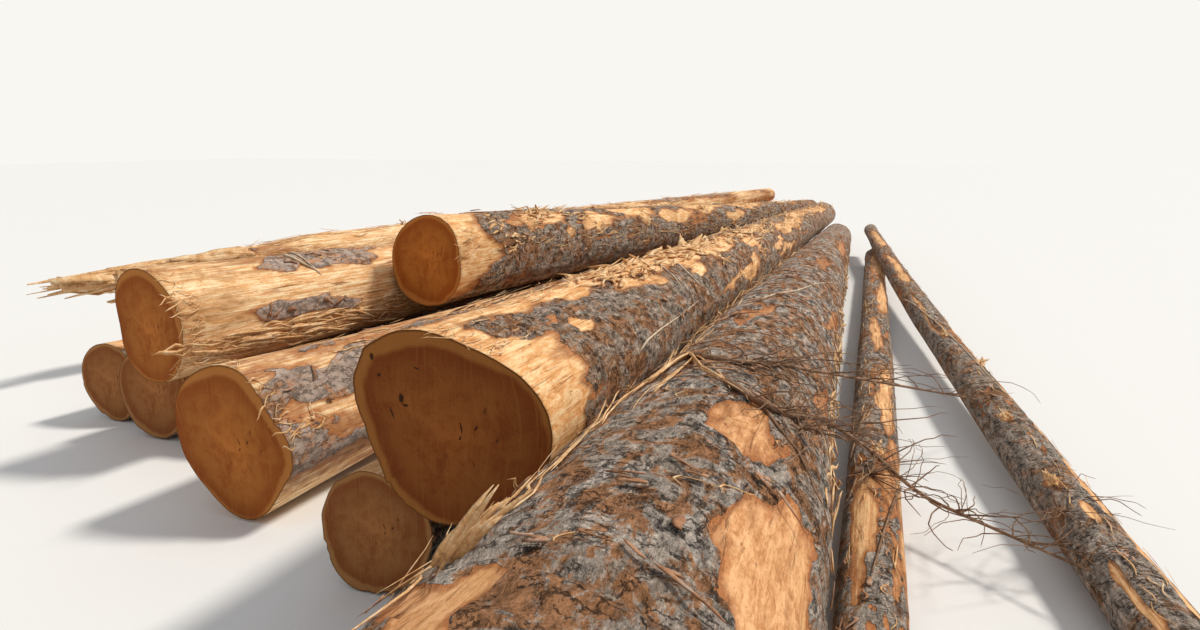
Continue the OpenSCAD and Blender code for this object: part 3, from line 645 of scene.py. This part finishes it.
def strew(name, rows, points=6, flat=0.35, seed=fibre_seed, blunt=0.8, on_bark=False, sink=None):
    log = logs[name]
    sink = COVER[name][1] * 0.5 if sink is None else sink
    starts, turns, lengths, lifts, widths, signs = [], [], [], [], [], []
    for s0, s1, a0, a1, count, length, lift, width, back in rows:
        for _ in range(count):
            starts.append(seed.uniform(s0, s1))
            turns.append(seed.uniform(a0, a1))
            lengths.append(length * seed.uniform(0.35, 1.15))
            lifts.append(lift * seed.random() ** 2.2)
            widths.append(width * seed.uniform(0.4, 1.2))
            signs.append(-1.0 if back or seed.random() < 0.25 else 1.0)
    starts, turns, lengths, lifts, widths, signs = map(np.array, (starts, turns, lengths, lifts, widths, signs))
    if on_bark:
        place, reach = surface(log, starts, turns)
        number = sorted(nodes).index(name) + 1
        grain = np.stack([np.cos(np.radians(turns)) * reach, starts + number * 17.0, np.sin(np.radians(turns)) * reach], 1)
        kept = bark_field(name, starts, turns % 360, grain, number) > 0.52
        starts, turns, lengths, lifts, widths, signs = (v[kept] for v in (starts, turns, lengths, lifts, widths, signs))
    t = np.linspace(0, 1, points)[None, :]
    drift = np.array([seed.uniform(-9, 9) for _ in starts])[:, None]
    bend = np.array([seed.uniform(-1, 1) for _ in starts])[:, None]
    s = starts[:, None] + (signs * lengths)[:, None] * t
    angle = turns[:, None] + drift * t + bend * 6 * np.sin(t * 5)
    whole = np.full(s.size, 0.0)
    base, _ = surface(log, s.ravel(), angle.ravel(), whole + sink)
    base = base.reshape(*s.shape, 3)
    outward = np.stack([np.cos(np.radians(angle)), np.zeros_like(angle), np.sin(np.radians(angle))], -1)
    across = np.stack([-np.sin(np.radians(angle)), np.zeros_like(angle), np.cos(np.radians(angle))], -1)
    path = base + outward * (lifts[:, None] * t ** 1.5 + 0.002)[..., None]
    taper = np.sin(np.pi * np.clip(0.12 + 0.86 * t, 0, 1)) ** blunt
    width = widths[:, None] * taper
    return path, across, outward, width, width * flat


for name, rows in FIBRES.items():
    rows = rows + [(along - size * 0.6, along + size * 0.6, around - 300 * size, around + 160 * size, 14, 1.2 * size + 0.03, 0.055, 0.022, False)
                   for along, around, size in KNOTS.get(name, ())]
    if name == "big_butt_log":
        rows.append((2.4, 3.5, 84, 112, 14, 0.36, 0.10, 0.060, False))
    strands(name + "_fibres", *strew(name, rows), loose["fibre"], "peeled_wood")

# %% [markdown]
# The broken log was not sawn but torn: its near end is a brush of splinters, long on the outside and
# short within. They run on from the stem in its own line, so they are strewn on its surface drawn out
# past the end, in three layers from the bark inwards.

# %% Splinters of the broken log
splinter_seed = random.Random(31)
for layer, (depth, reach, count, breadth) in enumerate(((0.012, 1.25, 80, 0.085), (0.07, 1.10, 60, 0.07), (0.13, 0.9, 40, 0.06))):
    rows = [(0.0, 0.10, 100, 250, count, reach, 0.05, breadth, True), (0.0, 0.10, -110, 100, count // 2, reach * 0.5, 0.03, breadth, True)]
    strands(f"broken_log_splinters_{layer}", *strew("broken_log", rows, points=9, flat=0.45, seed=splinter_seed, blunt=0.6, sink=depth),
            loose["fibre"], "peeled_wood")
planks = [(0.0, 0.06, 160, 200, 5, 1.20, 0.03, 0.15, True), (0.0, 0.06, 205, 240, 6, 1.25, 0.10, 0.15, True), (0.0, 0.06, 240, 268, 5, 1.1, 0.20, 0.14, True)]
strands("broken_log_planks", *strew("broken_log", planks, points=7, flat=0.22, seed=splinter_seed, blunt=0.15, sink=0.03),
        loose["fibre"], "peeled_wood")

# %% [markdown]
# Bark that has half come off stands on the log as flakes. They are broad, short and thick, and they lie
# thickest on the barked log beside its bare patch and down in the groove beside the big butt.

# %% Lifted bark flakes
FLAKES = {
    "barked_log": [
        (0.3, 8.0, 40, 160, 230, 0.055, 0.008, 0.040, False), (1.2, 10.0, -20, 40, 70, 0.055, 0.008, 0.036, False),
    ],
    "big_butt_log": [(1.5, 11.5, 0, 90, 90, 0.055, 0.008, 0.034, False), (0.3, 2.5, 125, 150, 40, 0.06, 0.008, 0.036, False)],
    "top_log": [(0.5, 10.0, -20, 120, 130, 0.070, 0.014, 0.034, False)],
    "peeled_log": [(0.5, 1.2, -16, 4, 7, 0.07, 0.005, 0.036, False), (0.7, 1.5, 70, 100, 6, 0.11, 0.008, 0.040, False)],
    "front_log": [(0.1, 0.9, 20, 75, 5, 0.06, 0.002, 0.028, False)],
    "side_pole": [(0.2, 9.0, 20, 160, 110, 0.06, 0.008, 0.022, False)],
    "leaning_pole": [(0.2, 10.0, -10, 150, 90, 0.055, 0.007, 0.020, False)],
}
flake_seed = random.Random(11)
for name, rows in FLAKES.items():
    strands(name + "_flakes", *strew(name, rows, points=5, flat=0.16, seed=flake_seed, blunt=0.34, on_bark=True, sink=0.0), loose["flake"], "plated_bark")

# %% [markdown]
# A forked limb lies across the deck, with twigs on it. Its course is given by where it is seen in the
# camera's picture. A ray through each such place finds the log below it, so the limb rests on the logs
# and bridges the gaps between them in straight reaches.

# %% The forked limb and loose sticks
from mathutils.bvhtree import BVHTree

bpy.context.view_layer.update()
deps = bpy.context.evaluated_depsgraph_get()
trees = [BVHTree.FromObject(skin, deps) for skin in skins.values()]
forward = Vector((-math.sin(yaw_left) * math.cos(pitch_down), math.cos(yaw_left) * math.cos(pitch_down), -math.sin(pitch_down)))
rightward = Vector((math.cos(yaw_left), math.sin(yaw_left), 0.0))
upward = rightward.cross(forward)


def on_logs(across, down):
    ray = (forward + rightward * ((across - 600) / 800) - upward * ((down - 315) / 800)).normalized()
    best = None
    for tree_of_log in trees:
        hit, normal, _, far = tree_of_log.ray_cast(eye, ray)
        if hit is not None and (best is None or far < best[1]):
            best = (hit, far)
    return None if best is None else best[0]


def laid_path(course, radius, points=28):
    found = [(k, on_logs(*place)) for k, place in enumerate(course)]
    found = [(k, hit) for k, hit in found if hit is not None]
    keys = np.array([k for k, _ in found], float)
    spots = np.array([hit for _, hit in found])
    t = np.linspace(keys[0], keys[-1], points)
    path = np.stack([np.interp(t, keys, spots[:, i]) for i in range(3)], 1)
    for _ in range(2):
        path[1:-1] = (path[:-2] + 2 * path[1:-1] + path[2:]) / 4
    for k, spot in enumerate(path):
        top = max((hit.z for hit in (tree_of_log.ray_cast(Vector((spot[0], spot[1], 3.0)), Vector((0, 0, -1)))[0]
                   for tree_of_log in trees) if hit is not None), default=0.0)
        path[k, 2] = (top if path[k, 2] < top < path[k, 2] + 0.12 else path[k, 2]) + radius
    for _ in range(2):
        path[1:-1, 2] = np.maximum(path[1:-1, 2], (path[:-2, 2] + path[2:, 2]) / 2)
    return path


def rods(name, paths, radii, finish, slot_name):
    length = max(len(p) for p in paths)
    full = np.array([np.stack([np.interp(np.linspace(0, 1, length), np.linspace(0, 1, len(p)), p[:, i]) for i in range(3)], 1) for p in paths])
    along = unit(np.gradient(full, axis=1))
    across = unit(np.cross(along, np.array([0.0, 0.0, 1.0])))
    above = np.cross(across, along)
    t = np.linspace(0, 1, length)
    thick = np.array([2 * r * (1 - 0.65 * t) for r in radii])
    thick[:, -1] *= 0.3
    return strands(name, full, across, above, thick, thick, finish, slot_name)


limb_courses = [
    ([(690, 358), (715, 363), (740, 366), (770, 370), (800, 371), (850, 366), (915, 385), (980, 402)], 0.013),
    ([(726, 385), (745, 398), (770, 412), (800, 428), (850, 460), (900, 490), (950, 515), (1000, 530), (1050, 552), (1090, 575)], 0.0145),
    ([(850, 460), (862, 420), (880, 385), (905, 350)], 0.006),
    ([(800, 430), (850, 440), (905, 470), (960, 480), (1010, 500)], 0.005),
    ([(740, 366), (800, 345), (850, 335), (900, 330)], 0.005),
    ([(760, 405), (780, 432), (806, 470), (826, 520)], 0.006),
    ([(870, 475), (910, 480), (950, 470), (975, 440)], 0.007), ([(900, 490), (885, 530), (872, 575)], 0.009),
    ([(960, 505), (1010, 500), (1060, 512)], 0.006), ([(915, 385), (940, 380), (975, 385)], 0.005),
]
split_courses = [
    ([(690, 358), (668, 366), (645, 384), (622, 402), (600, 424), (578, 446)], 0.011),
    ([(694, 360), (672, 378), (650, 396), (630, 414), (612, 428)], 0.008),
    ([(688, 357), (706, 370), (728, 387), (748, 400)], 0.011),
]
twig_seed = random.Random(23)
limb_paths = [laid_path(course, radius) for course, radius in limb_courses]
limb_radii = [radius for _, radius in limb_courses]
BEARERS = (0, 1, 1, 3, 0, 1, 6, 8)
for twig in range(190):
    parent = limb_paths[BEARERS[twig % len(BEARERS)]]
    k = twig_seed.randrange(3, 25)
    start = parent[k] + (parent[k + 1] - parent[k]) * twig_seed.random()
    onward = parent[k + 1] - parent[k - 1]
    heading = math.atan2(onward[1], onward[0]) + twig_seed.choice((-1, 1)) * twig_seed.uniform(0.3, 2.3)
    reach = twig_seed.uniform(0.12, 0.50)
    rise = twig_seed.uniform(0.0, 0.12)
    curl = twig_seed.uniform(-0.9, 0.9)
    t = np.linspace(0, 1, 9)
    kinks = np.array([[twig_seed.uniform(-0.012, 0.012) for _ in range(3)] for _ in t]) * t[:, None]
    path = np.stack([start[0] + reach * t * np.cos(heading + curl * t), start[1] + reach * t * np.sin(heading + curl * t),
                     start[2] + rise * np.sin(t * 2.4) * reach * 2], 1) + kinks
    limb_paths.append(path)
    limb_radii.append(twig_seed.uniform(0.0018, 0.0046))
rods("forked_limb", limb_paths, limb_radii, loose["twig"], "pole_bark")
split_seed = random.Random(5)
split_paths, split_radii = [], []
for course, radius in split_courses:
    for _ in range(4):
        shifted = [(x + split_seed.uniform(-5, 5) * (k > 0), y + split_seed.uniform(-5, 5) * (k > 0)) for k, (x, y) in enumerate(course)]
        split_paths.append(laid_path(shifted[:split_seed.randint(3, len(shifted))], radius * split_seed.uniform(0.5, 2.2)))
        split_radii.append(radius * split_seed.uniform(0.35, 0.75))
rods("split_limb", split_paths, split_radii, loose["fibre"], "peeled_wood")

stick_courses = [
    ([(284, 256), (300, 263), (320, 273)], 0.012), ([(290, 253), (306, 262), (322, 276)], 0.009), ([(640, 352), (676, 322), (700, 300)], 0.006),
    ([(905, 300), (960, 345), (1010, 400)], 0.006), ([(672, 262), (686, 272), (700, 288)], 0.008),
    ([(760, 300), (800, 292), (842, 290)], 0.008),
    ([(655, 262), (672, 276), (684, 292)], 0.007),
]
rods("loose_sticks", [laid_path(c, r * 0.6, 12) for c, r in stick_courses], [r for _, r in stick_courses],
     loose["grey_shard"], "peeled_wood")
foot = np.array(on_logs(438, 568)) + np.array([0.0, -0.02, 0.01])
shard_seed = random.Random(31)
fans, widths = [], []
for k in range(11):
    reach = shard_seed.uniform(0.09, 0.17)
    lean = unit(np.array(rightward) * shard_seed.uniform(0.35, 0.95) + np.array(upward) * 1.0 + np.array(forward) * shard_seed.uniform(-0.1, 0.3))
    t = np.linspace(0, 1, 7)[:, None]
    fans.append(foot + lean * reach * t + np.array(rightward) * 0.03 * t * t + np.array([shard_seed.uniform(-0.01, 0.03), 0.006 * k, 0.0]))
    widths.append(np.array([0.5, 0.8, 1.0, 1.05, 0.95, 0.6, 0.12]) * shard_seed.uniform(0.012, 0.022))
fans, widths = np.array(fans), np.array(widths)
along = unit(np.gradient(fans, axis=1))
across = unit(np.cross(along, np.array(forward)))
strands("leaning_shard", fans, across, np.cross(across, along), widths, widths * 0.25, loose["fibre"], "peeled_wood")
# %% [markdown]
# The floor is a pale plane that takes the shadow, and the world is a soft white room. One broad lamp from
# behind the deck on the right lights the tops of the logs and leaves the butts in softer light.

# %% Floor and light
bm = bmesh.new()
bmesh.ops.create_grid(bm, x_segments=1, y_segments=1, size=60.0)
bmesh.ops.translate(bm, verts=bm.verts, vec=(0, 0, -0.001))
floor_mesh = bpy.data.meshes.new("floor")
bm.to_mesh(floor_mesh)
bm.free()
floor = bpy.data.objects.new("floor", floor_mesh)
scene.collection.objects.link(floor)
floor_finish = bpy.data.materials.new("floor")
floor_finish.use_nodes = True
floor_finish.node_tree.nodes["Principled BSDF"].inputs["Base Color"].default_value = (0.80, 0.79, 0.77, 1)
floor_finish.node_tree.nodes["Principled BSDF"].inputs["Roughness"].default_value = 0.9
floor_mesh.materials.append(floor_finish)

world = bpy.data.worlds.new("room")
scene.world = world
world.use_nodes = True
tree = world.node_tree
sky = tree.nodes["Background"]
sky.inputs["Color"].default_value = (0.93, 0.96, 1.0, 1)
sky.inputs["Strength"].default_value = 0.55
seen = tree.nodes.new("ShaderNodeBackground")
seen.inputs["Color"].default_value = (0.95, 0.93, 0.89, 1)
ray = tree.nodes.new("ShaderNodeLightPath")
chosen = tree.nodes.new("ShaderNodeMixShader")
tree.links.new(ray.outputs["Is Camera Ray"], chosen.inputs[0])
tree.links.new(sky.outputs[0], chosen.inputs[1])
tree.links.new(seen.outputs[0], chosen.inputs[2])
tree.links.new(chosen.outputs[0], tree.nodes["World Output"].inputs["Surface"])

lamp_data = bpy.data.lights.new("high_lamp", "SUN")
lamp_data.energy = 2.7
lamp_data.angle = math.radians(9)
lamp_data.color = (1.0, 0.955, 0.88)
lamp = bpy.data.objects.new("high_lamp", lamp_data)
lamp.rotation_euler = Vector((-0.62, -0.42, -0.95)).to_track_quat("-Z", "Y").to_euler()
scene.collection.objects.link(lamp)
print("stage set")
